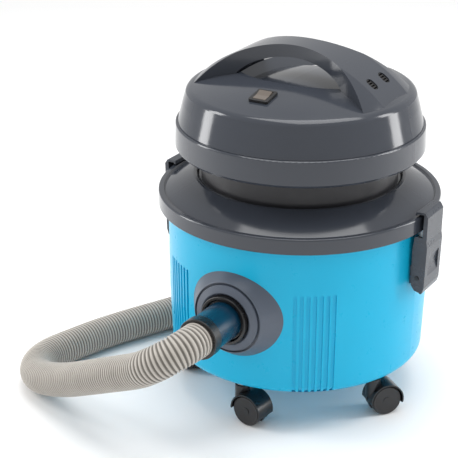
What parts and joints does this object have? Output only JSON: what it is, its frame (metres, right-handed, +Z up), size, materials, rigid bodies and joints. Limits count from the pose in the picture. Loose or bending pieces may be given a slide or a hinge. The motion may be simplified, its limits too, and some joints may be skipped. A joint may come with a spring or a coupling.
{
  "type": "shop vacuum",
  "caption": "Drum shop vacuum on five twin-wheel casters: clamped lid with domed motor head and carrying handle, front inlet with corrugated hose.",
  "frame": {"origin": "on the tub's vertical axis, at floor level", "axes": "+Z up, -Y towards the hose inlet, X along the carrying handle and the two latches"},
  "size_m": [0.5519, 0.8167, 0.46],
  "materials": {
    "tub_cyan": "gloss",
    "slate_gloss": "gloss",
    "satin_grey": "satin",
    "neck_dark": "satin",
    "black_plastic": "satin",
    "petrol_blue": "gloss",
    "hose_beige": "satin",
    "smoked_rocker": "gloss",
    "steel": "satin",
    "motor_steel": "satin",
    "fleece": "matt",
    "card": "matt",
    "rubber": "matt",
    "foam": "matt",
    "caster_black": "satin",
    "wheel_black": "satin"
  },
  "bodies": {
    "tub": {"tub": "tub_cyan", "inlet_boss": "satin_grey", "inlet_spigot": "black_plastic", "inlet_screws": "steel", "bayonet_ring": "black_plastic", "inlet_cuff": "petrol_blue", "cuff_collar": "black_plastic", "hose_tube": "hose_beige", "wand_cuff": "black_plastic", "dust_bag": "fleece", "bag_collar": "card", "filter_ring": "black_plastic", "filter_cloth": "fleece", "latch_brackets": "satin_grey", "latch_pins": "steel", "caster_stems": "steel"},
    "head": {"lid": "slate_gloss", "lid_gasket": "rubber", "lid_neck": "neck_dark", "head_skirt": "slate_gloss", "cable_gland": "black_plastic", "top_cover": "slate_gloss", "handle": "slate_gloss", "vent_grilles": "black_plastic", "head_screws": "steel", "handle_screws": "steel", "switch_bezel": "black_plastic", "switch_body": "black_plastic", "motor_plate": "black_plastic", "intake_grille": "black_plastic", "motor_gasket": "rubber", "motor_housing": "black_plastic", "sound_foam": "foam"},
    "rotor": {"motor_rotor": "motor_steel"},
    "rocker": {"rocker": "smoked_rocker"},
    "latch_right": {"latch_right": "satin_grey"},
    "latch_left": {"latch_left": "satin_grey"},
    "caster_1": {"caster_1_hood": "caster_black", "caster_1_axle": "steel"},
    "caster_1_left": {"caster_1_wheel_left": "wheel_black"},
    "caster_1_right": {"caster_1_wheel_right": "wheel_black"},
    "caster_2": {"caster_2_hood": "caster_black", "caster_2_axle": "steel"},
    "caster_2_left": {"caster_2_wheel_left": "wheel_black"},
    "caster_2_right": {"caster_2_wheel_right": "wheel_black"},
    "caster_3": {"caster_3_hood": "caster_black", "caster_3_axle": "steel"},
    "caster_3_left": {"caster_3_wheel_left": "wheel_black"},
    "caster_3_right": {"caster_3_wheel_right": "wheel_black"},
    "caster_4": {"caster_4_hood": "caster_black", "caster_4_axle": "steel"},
    "caster_4_left": {"caster_4_wheel_left": "wheel_black"},
    "caster_4_right": {"caster_4_wheel_right": "wheel_black"},
    "caster_5": {"caster_5_hood": "caster_black", "caster_5_axle": "steel"},
    "caster_5_left": {"caster_5_wheel_left": "wheel_black"},
    "caster_5_right": {"caster_5_wheel_right": "wheel_black"}
  },
  "joints": [
    {"name": "head_lift", "type": "slide", "parent": "tub", "child": "head", "axis": [0, 0, 1], "range_m": [0, 0.01]},
    {"name": "latch_right_open", "type": "hinge", "parent": "tub", "child": "latch_right", "pos_m": [0.178, 0, 0.19], "axis": [0, 1, 0], "range_deg": [0, 35]},
    {"name": "latch_left_open", "type": "hinge", "parent": "tub", "child": "latch_left", "pos_m": [-0.178, 0, 0.19], "axis": [0, -1, 0], "range_deg": [0, 35]},
    {"name": "rocker_tip", "type": "hinge", "parent": "head", "child": "rocker", "pos_m": [0, -0.09543, 0.41158], "axis": [1, 0, 0], "range_deg": [-14, 0]},
    {"name": "motor_spin", "type": "hinge", "parent": "head", "child": "rotor", "pos_m": [0, 0, 0.34], "axis": [0, 0, 1], "continuous": true},
    {"name": "caster_1_swivel", "type": "hinge", "parent": "tub", "child": "caster_1", "pos_m": [0, -0.142, 0.05], "axis": [0, 0, 1], "continuous": true},
    {"name": "caster_1_left_roll", "type": "hinge", "parent": "caster_1", "child": "caster_1_left", "pos_m": [0.01439, -0.14377, 0.02], "axis": [0.1219, 0.9925, 0], "continuous": true},
    {"name": "caster_1_right_roll", "type": "hinge", "parent": "caster_1", "child": "caster_1_right", "pos_m": [0.01439, -0.14377, 0.02], "axis": [0.1219, 0.9925, 0], "continuous": true},
    {"name": "caster_2_swivel", "type": "hinge", "parent": "tub", "child": "caster_2", "pos_m": [0.13505, -0.04388, 0.05], "axis": [0, 0, 1], "continuous": true},
    {"name": "caster_2_left_roll", "type": "hinge", "parent": "caster_2", "child": "caster_2_left", "pos_m": [0.14417, -0.03261, 0.02], "axis": [-0.7771, 0.6293, 0], "continuous": true},
    {"name": "caster_2_right_roll", "type": "hinge", "parent": "caster_2", "child": "caster_2_right", "pos_m": [0.14417, -0.03261, 0.02], "axis": [-0.7771, 0.6293, 0], "continuous": true},
    {"name": "caster_3_swivel", "type": "hinge", "parent": "tub", "child": "caster_3", "pos_m": [0.08347, 0.11488, 0.05], "axis": [0, 0, 1], "continuous": true},
    {"name": "caster_3_left_roll", "type": "hinge", "parent": "caster_3", "child": "caster_3_left", "pos_m": [0.07734, 0.12802, 0.02], "axis": [-0.9063, -0.4226, 0], "continuous": true},
    {"name": "caster_3_right_roll", "type": "hinge", "parent": "caster_3", "child": "caster_3_right", "pos_m": [0.07734, 0.12802, 0.02], "axis": [-0.9063, -0.4226, 0], "continuous": true},
    {"name": "caster_4_swivel", "type": "hinge", "parent": "tub", "child": "caster_4", "pos_m": [-0.08347, 0.11488, 0.05], "axis": [0, 0, 1], "continuous": true},
    {"name": "caster_4_left_roll", "type": "hinge", "parent": "caster_4", "child": "caster_4_left", "pos_m": [-0.09602, 0.12213, 0.02], "axis": [-0.5, -0.866, 0], "continuous": true},
    {"name": "caster_4_right_roll", "type": "hinge", "parent": "caster_4", "child": "caster_4_right", "pos_m": [-0.09602, 0.12213, 0.02], "axis": [-0.5, -0.866, 0], "continuous": true},
    {"name": "caster_5_swivel", "type": "hinge", "parent": "tub", "child": "caster_5", "pos_m": [-0.13505, -0.04388, 0.05], "axis": [0, 0, 1], "continuous": true},
    {"name": "caster_5_left_roll", "type": "hinge", "parent": "caster_5", "child": "caster_5_left", "pos_m": [-0.12824, -0.05668, 0.02], "axis": [0.8829, 0.4695, 0], "continuous": true},
    {"name": "caster_5_right_roll", "type": "hinge", "parent": "caster_5", "child": "caster_5_right", "pos_m": [-0.12824, -0.05668, 0.02], "axis": [0.8829, 0.4695, 0], "continuous": true}
  ],
  "couplings": [
    {"joint": "latch_right_open", "follows": "head_lift", "rad_per_m": 61.086},
    {"joint": "latch_left_open", "follows": "head_lift", "rad_per_m": 61.086}
  ]
}
